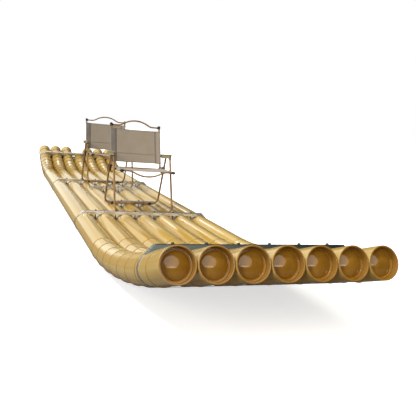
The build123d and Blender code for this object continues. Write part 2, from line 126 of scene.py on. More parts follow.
bambooLook = {
    "paleGrain": (0.55, 0.39, 0.13),
    "goldGrain": (0.475, 0.30, 0.062),
    "deepGrain": (0.38, 0.215, 0.034),
    # painted shade beside the weld beads, standing for the shadow of each bead's step
    "seamShadeColour": (0.13, 0.046, 0.004),
    "rimColour": (0.26, 0.128, 0.02),
    "broadScale": (0.5, 24, 24),
    "fineScale": (2.2, 130, 130),
    "grainSpots": (0.30, 0.47, 0.66),
    "streaks": 0.5,
    "roughness": (0.06, 0.16),
    "grainDepth": 0.0003,
    "gloss": 0.5,
    "seamShadeGloss": 0.05,
}


def bambooPlastic():
    # seam is 0 on the tube, 1 beside a weld bead where painted shade darkens it, 2 on the rim and
    # in the bore
    look = bambooLook
    material, tree, shader = newMaterial("bambooPlastic", 0.3, IOR=1.5)
    place = attribute(tree, "straightPlace", "Vector")
    broad = noise(tree, scaled(tree, place, look["broadScale"]), 1.0, 4)
    fine = noise(tree, scaled(tree, place, look["fineScale"]), 1.0, 4)
    colours = (look["deepGrain"], look["goldGrain"], look["paleGrain"])
    grain = ramp(tree, broad, *zip(look["grainSpots"], colours))
    streaks = spread(tree, fine, 0.0, look["streaks"])
    streaked = blendColour(tree, streaks, grain, look["goldGrain"])
    seam = attribute(tree, "seam")
    values = {"Value": seam, "From Min": 1.0, "From Max": 2.0}
    rim = addNode(tree, "ShaderNodeMapRange", values).outputs[0]
    # painted shade: beside each weld bead the tube is darkened towards seamShadeColour
    colour = blendColour(tree, seam, streaked, look["seamShadeColour"])
    colour = blendColour(tree, rim, colour, look["rimColour"])
    # painted shade: reflection is turned down beside the beads, and back up on the rim and in the
    # bore
    gloss = spread(tree, seam, look["gloss"], look["seamShadeGloss"])
    values = {0: rim, 1: look["gloss"] - look["seamShadeGloss"], 2: gloss}
    gloss = addNode(tree, "ShaderNodeMath", values, operation="MULTIPLY_ADD").outputs[0]
    tree.links.new(gloss, shader.inputs["Specular IOR Level"])
    tree.links.new(colour, shader.inputs["Base Color"])
    tree.links.new(spread(tree, fine, *look["roughness"]), shader.inputs["Roughness"])
    bump(tree, shader, fine, look["grainDepth"])
    return material


capLook = {
    "cloudScale": 14.0,
    "cloud": ((0.35, (0.188, 0.084, 0.006)), (0.65, (0.24, 0.115, 0.012))),
    "roughness": (0.07, 0.13),
    "waveScale": 9.0,
    "waveDepth": 0.0012,
    "waveStrength": 0.3,
}


def capPlastic():
    look = capLook
    material, tree, shader = newMaterial("capPlastic", 0.2, IOR=1.5)
    place = objectPlace(tree)
    cloud = noise(tree, place, look["cloudScale"], 4)
    tree.links.new(ramp(tree, cloud, *look["cloud"]), shader.inputs["Base Color"])
    tree.links.new(spread(tree, cloud, *look["roughness"]), shader.inputs["Roughness"])
    wave = noise(tree, place, look["waveScale"], 2)
    bump(tree, shader, wave, look["waveDepth"], look["waveStrength"])
    return material


steelLook = {
    "brushScale": (400, 6, 400),
    "cloudScale": 11.0,
    "cloudSpots": (0.35, 0.65),
    "darkShare": 0.86,
    "roughnessShares": (0.7, 1.5),
    "brushDepth": 0.00005,
    "brushStrength": 0.15,
}


def polishedSteel(name, tint, roughness, metal=1.0):
    look = steelLook
    material, tree, shader = newMaterial(name, roughness, Metallic=metal)
    place = objectPlace(tree)
    brushed = noise(tree, scaled(tree, place, look["brushScale"]), 1.0, 3)
    darker = tuple(look["darkShare"] * channel for channel in tint)
    cloud = noise(tree, place, look["cloudScale"], 3)
    colour = ramp(tree, cloud, *zip(look["cloudSpots"], (darker, tint)))
    tree.links.new(colour, shader.inputs["Base Color"])
    rough = spread(tree, brushed, *[roughness * share for share in look["roughnessShares"]])
    tree.links.new(rough, shader.inputs["Roughness"])
    bump(tree, shader, brushed, look["brushDepth"], look["brushStrength"])
    return material


grainLooks = {
    "woodGrainTube": {
        "roughness": 0.4,
        "scale": (55, 20, 9),
        "detail": 5,
        "grainRoughness": 0.6,
        "depth": 0.0002,
        "colours": (
            (0.32, (0.16, 0.075, 0.022)),
            (0.50, (0.29, 0.148, 0.048)),
            (0.68, (0.40, 0.23, 0.09)),
        ),
    },
    "blackPlastic": {
        "roughness": 0.42,
        "scale": (900, 900, 900),
        "detail": 2,
        "grainRoughness": 0.55,
        "depth": 0.0002,
        "colours": ((0.3, (0.008, 0.008, 0.009)), (0.7, (0.02, 0.02, 0.022))),
    },
    "khakiArm": {
        "roughness": 0.5,
        "scale": (8, 90, 90),
        "detail": 5,
        "grainRoughness": 0.55,
        "depth": 0.0003,
        "colours": ((0.32, (0.24, 0.19, 0.10)), (0.68, (0.40, 0.34, 0.20))),
    },
}


def grained(name):
    look = grainLooks[name]
    material, tree, shader = newMaterial(name, look["roughness"])
    place = scaled(tree, objectPlace(tree), look["scale"])
    grain = noise(tree, place, 1.0, look["detail"], look["grainRoughness"])
    tree.links.new(ramp(tree, grain, *look["colours"]), shader.inputs["Base Color"])
    bump(tree, shader, grain, look["depth"], 0.5)
    return material


clothLook = {
    "threadsPerMetre": 900.0,
    "threadWander": 0.6,
    "threadDepth": 0.0004,
    "threadStrength": 0.6,
    "sheen": 0.25,
    "cloudScale": (9, 9, 9),
    "cloudSpots": (0.35, 0.65),
    # painted shade along the hems and the sleeves' stitched edges
    "hemShadeColour": (0.12, 0.105, 0.10),
    "threadColour": (0.42, 0.38, 0.32),
}


def canvas(name, dark, light):
    look = clothLook
    material, tree, shader = newMaterial(name, 0.85, **{"Sheen Weight": look["sheen"]})
    place = addNode(tree, "ShaderNodeUVMap", uv_map="cloth").outputs["UV"]
    rate = look["threadsPerMetre"] / (2 * math.pi)
    values = {"Vector": place, "Scale": rate, "Distortion": look["threadWander"], "Detail": 1.0}
    along, across = [
        addNode(tree, "ShaderNodeTexWave", values, bands_direction=direction).outputs["Fac"]
        for direction in ("X", "Y")
    ]
    weave = blendColour(tree, 1.0, along, across, "MULTIPLY")
    cloud = noise(tree, scaled(tree, place, look["cloudScale"]), 1.0, 2)
    cloudy = ramp(tree, cloud, *zip(look["cloudSpots"], (dark, light)))
    colour = blendColour(tree, weave, cloudy, light)
    # painted shade: the cloth darkens along its hems and at the sleeves' stitched edges
    colour = blendColour(tree, attribute(tree, "edge"), colour, look["hemShadeColour"])
    tree.links.new(colour, shader.inputs["Base Color"])
    bump(tree, shader, weave, look["threadDepth"], look["threadStrength"])
    return material


finishes = {
    "bamboo_plastic": bambooPlastic(),
    "cap_plastic": capPlastic(),
    "bar_steel": polishedSteel("barSteel", (0.62, 0.60, 0.55), 0.22, 0.85),
    "strap_steel": polishedSteel("strapSteel", (0.36, 0.38, 0.37), 0.25),
    "stud_steel": polishedSteel("studSteel", (0.14, 0.14, 0.14), 0.4),
    "saddle_steel": polishedSteel("saddleSteel", (0.17, 0.165, 0.16), 0.26),
    "chair_tube": grained("woodGrainTube"),
    "black_plastic": grained("blackPlastic"),
    "armrest_wood": grained("khakiArm"),
    "canvas": canvas("taupeCanvas", (0.298, 0.244, 0.185), (0.325, 0.272, 0.209)),
}
# painted shade: the bow crossbar gets a darker, bluer copy of the bar steel, standing for the
# shade and dark reflections it sits in
shadedBowBarSteel = polishedSteel("shadedBowBarSteel", (0.09, 0.115, 0.115), 0.3)
# painted shade: the starboard sleeves get a darker, greyer copy of the canvas, standing for the
# shade on that side of each chair
shadedSleeveCanvas = canvas("shadedStarboardCanvas", (0.165, 0.143, 0.122), (0.22, 0.195, 0.172))
threadFinish = newMaterial("paleThread", 0.7, **{"Base Color": (*clothLook["threadColour"], 1)})[0]
for subpart in frame["record"]["subparts"]:
    nodes[subpart["node"]].data.materials.clear()
    nodes[subpart["node"]].data.materials.append(finishes[subpart["material_slot"]])
# the bow crossbar takes the shaded copy of the bar steel
nodes["crossbar_bow"].data.materials[0] = shadedBowBarSteel
print("finishes made")


# Mesh helpers


def markSharp(bm, degrees=38.0):
    limit = math.radians(degrees)
    for edge in bm.edges:
        if len(edge.link_faces) == 2 and edge.calc_face_angle(0.0) > limit:
            edge.smooth = False


def finishPiece(bm, name, materials, replaced=()):
    bmesh.ops.recalc_face_normals(bm, faces=bm.faces)
    markSharp(bm)
    for face in bm.faces:
        face.smooth = True
    mesh = bpy.data.meshes.new(name)
    bm.to_mesh(mesh)
    bm.free()
    piece = bpy.data.objects.new(name, mesh)
    bpy.context.scene.collection.objects.link(piece)
    for material in materials:
        mesh.materials.append(material)
    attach(piece, "root")
    if replaced:
        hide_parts(*replaced)
    return piece


class Station:
    def __init__(self, place, toward, radius, run=0.0, seam=0.0):
        self.place, self.toward = Vector(place), Vector(toward).normalized()
        self.radius, self.run, self.seam = radius, run, seam


def sweepRound(bm, stations, around, shift=Vector()):
    # straightPlace is each point's place on the unbent tube, for the grain to follow the bends
    layers = bm.verts.layers
    straight = layers.float_vector.get("straightPlace")
    straight = straight or layers.float_vector.new("straightPlace")
    seamShades = layers.float.get("seam") or layers.float.new("seam")
    turn = Vector((0, 0, 1)).rotation_difference(stations[0].toward)
    ring = bmesh.ops.create_circle(bm, segments=around, radius=1.0)["verts"]
    edges = list({edge for vert in ring for edge in vert.link_edges})
    old, toward = Matrix(), stations[0].toward
    for count, station in enumerate(stations):
        if count:
            made = bmesh.ops.extrude_edge_only(bm, edges=edges)["geom"]
            ring = [item for item in made if isinstance(item, bmesh.types.BMVert)]
            kept = set(ring)
            edges = [
                item
                for item in made
                if isinstance(item, bmesh.types.BMEdge) and all(v in kept for v in item.verts)
            ]
            turn = toward.rotation_difference(station.toward) @ turn
            toward = station.toward
        scale = Vector((station.radius,) * 3)
        new = Matrix.LocRotScale(station.place, turn, scale)
        bmesh.ops.transform(bm, matrix=new @ old.inverted(), verts=ring)
        old = new
        inverse = new.inverted()
        for vert in ring:
            local = inverse @ vert.co * station.radius
            vert[straight] = Vector((station.run, local.x, local.y)) + shift
            # seam carries the painted shade beside the beads into the mesh
            vert[seamShades] = station.seam


def closeEnds(bm):
    bmesh.ops.holes_fill(bm, edges=[edge for edge in bm.edges if edge.is_boundary])


def filletPath(points, radius, steps=10):
    points = [Vector(point) for point in points]
    path = [points[0]]
    for before, corner, after in zip(points, points[1:], points[2:]):
        back, on = (before - corner).normalized(), (after - corner).normalized()
        half = back.angle(on) / 2
        centre = corner + (back + on).normalized() * radius / math.sin(half)
        start = corner + back * radius / math.tan(half)
        axis = (start - centre).cross(corner + on * radius / math.tan(half) - centre)
        sweepAngle = math.pi - 2 * half
        for step in range(steps + 1):
            spoke = Matrix.Rotation(sweepAngle * step / steps, 3, axis.normalized())
            path.append(centre + spoke @ (start - centre))
    path.append(points[-1])
    return path


def pathStations(path, radius):
    stations, run = [], 0.0
    for count, point in enumerate(path):
        before, after = path[max(count - 1, 0)], path[min(count + 1, len(path) - 1)]
        if count:
            run += (point - before).length
        stations.append(Station(point, after - before, radius, run))
    return stations


# Tubes

hull = {
    "radius": 0.08,
    "wall": 0.007,
    "count": 7,
    "pitch": 0.1634,
    "deckLength": 4.2095,
    "bowTurns": (3.338, 3.037, 2.638, 2.304, 2.08, 2.087, 2.133, 1.915),
    "sternTurns": (2.667,) * 8,
    "bowRuns": (0.1978, 0.1941),
    "sternRuns": (0.1551, 0.1186),
    "middleTube": 4,
    "middleMitres": 6,
    "middlePast": 0.146,
    "axisHeight": 0.0828,
    "around": 88,
    "boreDepth": 0.0432,
    "rimRound": 0.0016,
    "rimMiddleShare": 0.3,
    "rimStart": 0.012,
    "grainShift": (2.7, 0.31),
    "beadClear": 0.0004,
    # along the tube from the mitre, rise above the tube, painted shade beside the bead
    "bowBead": (
        (-0.0120, 0.0, 0.0),
        (-0.0090, 0.0, 0.4),
        (-0.0062, 0.0, 0.8),
        (-0.0045, 0.0008, 0.8),
        (-0.0030, 0.0020, 0.4),
        (-0.0008, 0.0026, 0.0),
        (0.0012, 0.0026, 0.0),
        (0.0030, 0.0020, 0.3),
        (0.0045, 0.0008, 0.7),
        (0.0062, 0.0, 0.7),
        (0.0090, 0.0, 0.2),
        (0.0120, 0.0, 0.0),
    ),
    # the stern beads carry their painted shade on the side facing the bow
    "sternBead": (
        (-0.0180, 0.0, 0.0),
        (-0.0110, 0.0007, 0.1),
        (-0.0060, 0.0026, 0.0),
        (-0.0020, 0.0036, 0.0),
        (0.0010, 0.0036, 0.3),
        (0.0040, 0.0027, 0.9),
        (0.0065, 0.0008, 1.0),
        (0.0085, 0.0, 0.9),
        (0.0120, 0.0, 0.4),
        (0.0170, 0.0, 0.0),
    ),
}


def bendPoints(startX, turns, runs, way):
    x, z, turn = startX, hull["axisHeight"], 0.0
    points = [(x, z)]
    for count, more in enumerate(turns, start=1):
        turn += math.radians(more)
        run = runs[0] if count < len(turns) else runs[1]
        x += way * run * math.cos(turn)
        z += run * math.sin(turn)
        points.append((x, z))
    return points


def endReach(points):
    (x1, z1), (x2, z2) = points[-2:]
    return abs(x2) + hull["radius"] * (z2 - z1) / math.hypot(x2 - x1, z2 - z1)


halfDeck = hull["deckLength"] / 2
bowReach = endReach(bendPoints(halfDeck, hull["bowTurns"], hull["bowRuns"], 1))
sternReach = endReach(bendPoints(-halfDeck, hull["sternTurns"], hull["sternRuns"], -1))
midShift = (sternReach - bowReach) / 2
bowPoints = bendPoints(midShift + halfDeck, hull["bowTurns"], hull["bowRuns"], 1)
sternPoints = bendPoints(midShift - halfDeck, hull["sternTurns"], hull["sternRuns"], -1)
(lastX, lastZ), (nextX, nextZ) = sternPoints[hull["middleMitres"] - 1 : hull["middleMitres"] + 1]
part = hull["middlePast"] / hull["sternRuns"][0]
middlePoints = sternPoints[: hull["middleMitres"]]
middlePoints += [(lastX + (nextX - lastX) * part, lastZ + (nextZ - lastZ) * part)]
middleLine = (hull["count"] - 1) / 2
tubeLines = [(number - middleLine) * hull["pitch"] for number in range(hull["count"])]
sternEnds = [sternPoints] * hull["count"]
sternEnds[hull["middleTube"] - 1] = middlePoints


def mouthStations(end, out, toward, run):
    radius, bore = hull["radius"], hull["radius"] - hull["wall"]
    bevel, middle = hull["rimRound"], hull["rimMiddleShare"] * hull["rimRound"]
    spots = (
        (-hull["rimStart"], radius, 0.0),
        (-bevel, radius, 0.0),
        (-middle, radius - middle, 0.0),
        (0.0, radius - bevel, 2.0),
        (0.0, bore + bevel, 2.0),
        (-middle, bore + middle, 2.0),
        (-bevel, bore, 2.0),
        (-hull["boreDepth"], bore, 2.0),
    )
    way = out.dot(toward)
    return [
        Station(end + out * depth, toward, size, run + way * depth, seam)
        for depth, size, seam in spots
    ]


def tubeStations(stern, line):
    hullPoints = [Vector((x, line, z)) for x, z in stern[::-1] + bowPoints]
    runs = [after - before for before, after in zip(hullPoints, hullPoints[1:])]
    start, finish = runs[0].normalized(), runs[-1].normalized()
    stations = mouthStations(hullPoints[0], -start, start, 0.0)[::-1]
    length = 0.0
    for before, after, corner in zip(runs, runs[1:], hullPoints[1:]):
        length += before.length
        lean = before.normalized() + after.normalized()
        bead = hull["sternBead"] if corner.x < 0 else hull["bowBead"]
        for step, rise, seam in bead:
            own = (before if step < 0 else after).normalized()
            toward, radius = lean if rise else own, hull["radius"] + rise
            stations.append(Station(corner + own * step, toward, radius, length + step, seam))
    return stations + mouthStations(hullPoints[-1], finish, finish, length + runs[-1].length)


def trimBeads(bm, number, line):
    # beads are dressed flat where the next tube or the ground is close
    reach, low = hull["pitch"] / 2 - hull["beadClear"], hull["beadClear"]
    for vert in bm.verts:
        if number > 1:
            vert.co.y = max(vert.co.y, line - reach)
        if number < hull["count"]:
            vert.co.y = min(vert.co.y, line + reach)
        vert.co.z = max(vert.co.z, low)


for number, line in enumerate(tubeLines, start=1):
    bm = bmesh.new()
    stations = tubeStations(sternEnds[number - 1], line)
    sweepRound(bm, stations, hull["around"], Vector((*hull["grainShift"], 0)) * number)
    closeEnds(bm)
    trimBeads(bm, number, line)
    finish, stands = finishes["bamboo_plastic"], [f"tube_{number}"]
    finishPiece(bm, f"bambooTube{number}", [finish], stands)
print("tubes made")


# End caps

cap = {
    "around": 72,
    "profile": (
        (0.0728, -0.0428),
        (0.0728, -0.0330),
        (0.0722, -0.0322),
        (0.0714, -0.0320),
        (0.0668, -0.0320),
        (0.0660, -0.0323),
        (0.0656, -0.0331),
        (0.0650, -0.0360),
        (0.0642, -0.0368),
        (0.0612, -0.0370),
        (0.0604, -0.0367),
        (0.0596, -0.0358),
    ),
    "domeRise": 0.015,
    "domeSteps": 12,
}


def endCaps(name, ends, node):
    bm = bmesh.new()
    edgeR, edgeH = cap["profile"][-1]
    profile = list(cap["profile"])
    for step in range(1, cap["domeSteps"] + 1):
        part = step / cap["domeSteps"]
        radius = edgeR * (1 - part)
        profile.append((max(radius, 1e-5), edgeH + cap["domeRise"] * (1 - (1 - part) ** 2)))
    verts = [bm.verts.new((radius, 0, height)) for radius, height in profile]
    chain = [bm.edges.new(pair) for pair in zip(verts, verts[1:])]
    bmesh.ops.spin(
        bm,
        geom=verts + chain,
        axis=(0, 0, 1),
        cent=(0, 0, 0),
        angle=2 * math.pi,
        steps=cap["around"],
        use_merge=True,
    )
    bmesh.ops.remove_doubles(bm, verts=bm.verts, dist=2e-5)
    first = bm.verts[:] + bm.edges[:] + bm.faces[:]
    for line, points in zip(tubeLines, ends):
        (x1, z1), (x2, z2) = points[-2:]
        turn = Vector((0, 0, 1)).rotation_difference(Vector((x2 - x1, 0, z2 - z1)))
        place = Matrix.LocRotScale(Vector((x2, line, z2)), turn, Vector((1, 1, 1)))
        copied = bmesh.ops.duplicate(bm, geom=first)["geom"]
        moved = [item for item in copied if isinstance(item, bmesh.types.BMVert)]
        bmesh.ops.transform(bm, matrix=place, verts=moved)
    bmesh.ops.delete(bm, geom=[item for item in first if isinstance(item, bmesh.types.BMVert)])
    return finishPiece(bm, name, [finishes["cap_plastic"]], [node])


endCaps("bowEndCaps", [bowPoints] * hull["count"], "end_caps_bow")
endCaps("sternEndCaps", sternEnds, "end_caps_stern")
print("end caps made")


# Chair frames

chair = {
    "fronts": {"Fore": midShift + halfDeck - 0.8879, "Aft": midShift + halfDeck - 2.4019},
    "crown": 0.1628,
    "tubeRadius": 0.008,
    "railRadius": 0.0065,
    "legHalf": 0.247,
    "legBend": 0.06,
    "footRise": 0.0083,
    "frontLeg": (-0.031, -0.215),
    "rearLeg": (-0.515, -0.343),
    "legTrim": 0.004,
    "armFront": (-0.200, 0.464),
    "armTilt": math.radians(4.1),
    "seatHalf": 0.221,
    "seatRear": (-0.415, 0.345),
    "seatFront": (-0.002, 0.359),
    "postLean": math.radians(20.3),
    "postLength": 0.3977,
    "ballRadius": 0.013,
    "gap": 0.0003,
    "waveInset": 0.044,
    "waveFoot": 0.3,
    "waveSteps": 12,
    "backWave": (-0.006, 0.047),
    "frontWave": (0.0, -0.042),
    "grainShift": (1.3, 0.11),
    "around": 28,
}


def chairPoint(front, spot, y=0.0):
    x, height = spot
    return Vector((front + x, y, chair["crown"] + height))


def tubePiece(name, node, *paths, radius=None):
    bm = bmesh.new()
    for count, path in enumerate(paths):
        stations = pathStations(path, radius or chair["tubeRadius"])
        sweepRound(bm, stations, chair["around"], Vector((*chair["grainShift"], 0)) * count)
    closeEnds(bm)
    stands = [node] if node else []
    return finishPiece(bm, name, [finishes["chair_tube"]], stands)


def armHeight(x):
    frontX, height = chair["armFront"]
    return height + (x - frontX) * math.tan(chair["armTilt"])


def legPath(front, footX, topX):
    foot = chairPoint(front, (footX, chair["footRise"]))
    top = chairPoint(front, (topX, armHeight(topX)))
    top -= (top - foot).normalized() * chair["legTrim"]
    side = Vector((0, chair["legHalf"], 0))
    return filletPath((top - side, foot - side, foot + side, top + side), chair["legBend"])


def wavePath(centre, drop, rise):
    reach = chair["seatHalf"] - chair["ballRadius"] - chair["gap"]
    wave = reach - chair["waveInset"]
    side = 1 if rise > 0 else -1
    turn = 2 * math.atan2(abs(rise), wave)
    radii = wave / math.sin(turn)
    lowR = radii * chair["waveFoot"]
    steps = chair["waveSteps"]
    path = [(-reach, drop)]
    heading, x, z = 0.0, -wave, drop
    for radius, way in ((lowR, 1), (radii - lowR, -1), (radii - lowR, -1), (lowR, 1)):
        bend = side * way * turn / steps
        chord = 2 * radius * math.sin(turn / steps / 2)
        for step in range(steps):
            path.append((x, z))
            x += chord * math.cos(heading + bend / 2)
            z += chord * math.sin(heading + bend / 2)
            heading += bend
    path += [(x, z), (reach, drop)]
    return [centre + Vector((0, y, height)) for y, height in path]


def rodPath(start, end, insetStart=0.0, insetEnd=0.0):
    way = (end - start).normalized()
    return [start + way * insetStart, end - way * insetEnd]


for name, front in chair["fronts"].items():
    node = f"chair_{name.lower()}_"
    hold = chair["ballRadius"] + chair["gap"]
    thin = chair["railRadius"]
    lean = Vector((-math.sin(chair["postLean"]), 0, math.cos(chair["postLean"])))
    post = lean * chair["postLength"]
    tubePiece(f"frontLegs{name}", node + "front_legs", legPath(front, *chair["frontLeg"]))
    tubePiece(f"rearLegs{name}", node + "rear_legs", legPath(front, *chair["rearLeg"]))
    rails, posts = [], []
    for side in (-chair["seatHalf"], chair["seatHalf"]):
        rear = chairPoint(front, chair["seatRear"], side)
        fore = chairPoint(front, chair["seatFront"], side)
        rails.append(rodPath(rear, fore, hold))
        posts.append(rodPath(rear, rear + post, hold, hold))
    tubePiece(f"seatSideRails{name}", node + "seat_rails", *rails)
    cross = chair["seatHalf"] - hold
    ends = [chairPoint(front, chair["seatRear"], y) for y in (-cross, cross)]
    tubePiece(f"seatRearRail{name}", None, ends, radius=thin)
    tubePiece(f"backPosts{name}", node + "back_posts", *posts)
    rear, fore = [chairPoint(front, chair[spot]) for spot in ("seatRear", "seatFront")]
    path = wavePath(rear + post, *chair["backWave"])
    tubePiece(f"backTopRail{name}", node + "back_rail", path, radius=thin)
    corner = fore + (fore - rear).normalized() * chair["ballRadius"]
    path = wavePath(corner, *chair["frontWave"])
    tubePiece(f"seatFrontRail{name}", node + "front_rail", path, radius=thin)
print("chair frames made")


# Chair cloth

cloth = {
    "thickness": 0.0010,
    "sleeveBand": 0.056,
    "sleeveRadius": 0.0091,
    "stitchGap": 0.0012,
    "backBottom": 0.052,
    "backLength": 0.305,
    "backBow": 0.004,
    "bowShares": (0.75, 0.5),
    "backColumns": 48,
    "panelOverlap": 0.007,
    "ripple": (0.0006, 150, 21),
    "ripplePowers": (6, 30),
    "hem": 0.013,
    "hemLift": 0.0007,
    "hemFade": 0.0006,
    "edgeBand": 0.0035,
    "edgeFade": 0.0012,
    "edgeSlack": 0.0001,
    "hemShadeShare": 0.8,
    "creaseHeight": 0.082,
    # along the cloth from the crease, rise
    "crease": ((-0.005, 0.0), (-0.003, 0.0008), (0.0, 0.0024), (0.006, 0.0018), (0.013, 0.0)),
    "seatInset": 0.026,
    "seatLength": 0.3742,
    "seatSag": 0.012,
    "seatColumns": 40,
    "seatWrap": 1.15,
    "wrapSteps": 16,
    "underRise": 0.0035,
    "notchHalf": 0.016,
    "stitchInsets": (0.0035, 0.0085),
    "stitchMargin": 0.004,
    "stitchClear": 0.0001,
    "stitchPitch": 0.0042,
    "stitchSize": (0.0004, 0.0015),
}


def clothGrid(section, rows, axes, shape=None, notches=(), shadedColumns=()):
    origin, sideways, over, onward = axes
    bm = bmesh.new()
    columns, lines = len(section) - 1, len(rows) - 1
    bmesh.ops.create_grid(bm, x_segments=columns, y_segments=lines, size=0.5)
    clothMap = bm.loops.layers.uv.new("cloth")
    edges = bm.verts.layers.float.new("edge")
    rim = cloth["edgeBand"] + cloth["edgeSlack"]
    spans = [0.0]
    for before, after in zip(section, section[1:]):
        spans.append(spans[-1] + math.dist(before, after))
    flat, gone = {}, []
    for vert in bm.verts:
        column = round((vert.co.x + 0.5) * columns)
        row = round((vert.co.y + 0.5) * lines)
        (across, height), (along, lift) = section[column], rows[row]
        flat[vert] = (column, row)
        fromEnd = min(along - rows[0][0], rows[-1][0] - along)
        # the edge layer marks painted shade along the hem edges and the sleeves' stitched columns
        vert[edges] = cloth["hemShadeShare"] if fromEnd < rim or column in shadedColumns else 0.0
        height += lift + (shape(across, along) if shape else 0.0)
        vert.co = origin + sideways * across + over * height + onward * along
    for face in bm.faces:
        for loop in face.loops:
            column, row = flat[loop.vert]
            loop[clothMap].uv = (spans[column], rows[row][0])
        side = sum(section[flat[vert][0]][0] for vert in face.verts) / 4
        along = sum(rows[flat[vert][1]][0] for vert in face.verts) / 4
        if abs(side) > chair["seatHalf"] and any(low < along < high for low, high in notches):
            gone.append(face)
    bmesh.ops.delete(bm, geom=gone, context="FACES")
    bmesh.ops.recalc_face_normals(bm, faces=bm.faces)
    bmesh.ops.solidify(bm, geom=bm.faces, thickness=cloth["thickness"])
    return bm, spans[-1]


def tunnel(side, innerX, innerHeight, steps=16, flats=5):
    # cloth round a tube at side, from its stitched edge over the front to the stitched edge behind
    radius, centre = cloth["sleeveRadius"], abs(side)
    reach = math.hypot(centre - innerX, innerHeight)
    start = math.pi - math.atan2(innerHeight, centre - innerX) - math.acos(radius / reach)
    runX = centre + radius * math.cos(start) - innerX
    runHeight = radius * math.sin(start) - innerHeight
    points = [
        (innerX + runX * step / flats, innerHeight + runHeight * step / flats)
        for step in range(flats)
    ]
    for step in range(steps + 1):
        turn = start * (1 - 2 * step / steps)
        points.append((centre + radius * math.cos(turn), radius * math.sin(turn)))
    mirrored = [(x, -y) for x, y in points[flats - 1 :: -1]]
    way = 1 if side > 0 else -1
    return [(way * x, y) for x, y in points + mirrored]


def hemRows(start, length, extra=(), steps=24):
    hem, lift, rim = cloth["hem"], cloth["hemLift"], cloth["edgeBand"]
    spots = {hem: 0.0, length - hem: 0.0}
    for inset in (0.0, rim, rim + cloth["edgeFade"], hem - cloth["hemFade"]):
        spots[inset] = spots[length - inset] = lift
    for step in range(1, steps):
        spots.setdefault(hem + (length - 2 * hem) * step / steps, 0.0)
    spots.update(extra)
    return [(start + along, spots[along]) for along in sorted(spots)]


def stitches(bm, start, end):
    thin, long = cloth["stitchSize"]
    count = max(int((end - start).length / cloth["stitchPitch"]), 1)
    turn = Vector((0, 0, 1)).rotation_difference((end - start).normalized())
    for number in range(count):
        place = start.lerp(end, (number + 0.5) / count)
        matrix = Matrix.LocRotScale(place, turn, Vector((thin, thin, long)))
        bmesh.ops.create_uvsphere(bm, u_segments=6, v_segments=4, radius=1.0, matrix=matrix)


def pivotRuns():
    (rearX, rearZ), (foreX, foreZ) = chair["seatRear"], chair["seatFront"]
    slope = (foreZ - rearZ) / (foreX - rearX)
    runs = []
    for footX, topX in (chair["frontLeg"], chair["rearLeg"]):
        lean = (topX - footX) / (armHeight(topX) - chair["footRise"])
        railZ = rearZ + (footX - rearX) * slope
        height = (railZ - chair["footRise"] * lean * slope) / (1 - lean * slope)
        x = footX + (height - chair["footRise"]) * lean
        runs.append((x - rearX) * math.hypot(1, slope))
    return runs


def backCloth(name, front):
    lean = chair["postLean"]
    origin = chairPoint(front, chair["seatRear"])
    up = Vector((-math.sin(lean), 0, math.cos(lean)))
    forward = Vector((math.cos(lean), 0, math.sin(lean)))
    axes = (origin, Vector((0, 1, 0)), forward, up)
    outer = chair["seatHalf"] + cloth["sleeveRadius"]
    inner = outer - cloth["sleeveBand"]
    bottom, length, gap = cloth["backBottom"], cloth["backLength"], cloth["stitchGap"]
    lowBow, moreBow = cloth["bowShares"]
    ripple, alongRate, acrossRate = cloth["ripple"]
    inPower, outPower = cloth["ripplePowers"]

    def shape(across, along):
        part = (along - bottom) / length
        side = min(abs(across) / inner, 1.0)
        bow = -cloth["backBow"] * (1 - side**2) * (lowBow + moreBow * part)
        wave = math.sin(along * alongRate + across * acrossRate)
        return bow + ripple * wave * side**inPower * (1 - side**outPower)

    half, columns = inner + cloth["panelOverlap"], cloth["backColumns"]
    section = [(-half + 2 * half * step / columns, 0.0) for step in range(columns + 1)]
    ridge = [(cloth["creaseHeight"] + along, rise) for along, rise in cloth["crease"]]
    bm, width = clothGrid(section, hemRows(bottom, length, ridge), axes, shape)
    stands = [f"chair_{name.lower()}_back_fabric"]
    panel = finishPiece(bm, f"backPanel{name}", [finishes["canvas"]], stands)
    for way, sideName in ((-1, "Starboard"), (1, "Port")):
        section = tunnel(way * chair["seatHalf"], inner, gap)
        # painted shade on the sleeve's two stitched edges
        dark = (0, 1, len(section) - 2, len(section) - 1)
        bm, around = clothGrid(section, hemRows(bottom, length), axes, shadedColumns=dark)
        # painted shade: the starboard sleeve takes the darker copy of the canvas
        finish = shadedSleeveCanvas if way < 0 else finishes["canvas"]
        finishPiece(bm, f"backSleeve{sideName}{name}", [finish])
    bm = bmesh.new()
    lift = gap + cloth["thickness"] / 2 + cloth["stitchClear"]
    for way in (-1, 1):
        for inset in cloth["stitchInsets"]:
            low = origin + Vector((0, way * (inner + inset), 0)) + forward * lift + up * bottom
            margin = up * cloth["stitchMargin"]
            stitches(bm, low + margin, low + up * length - margin)
    thread = finishPiece(bm, f"backStitches{name}", [threadFinish])


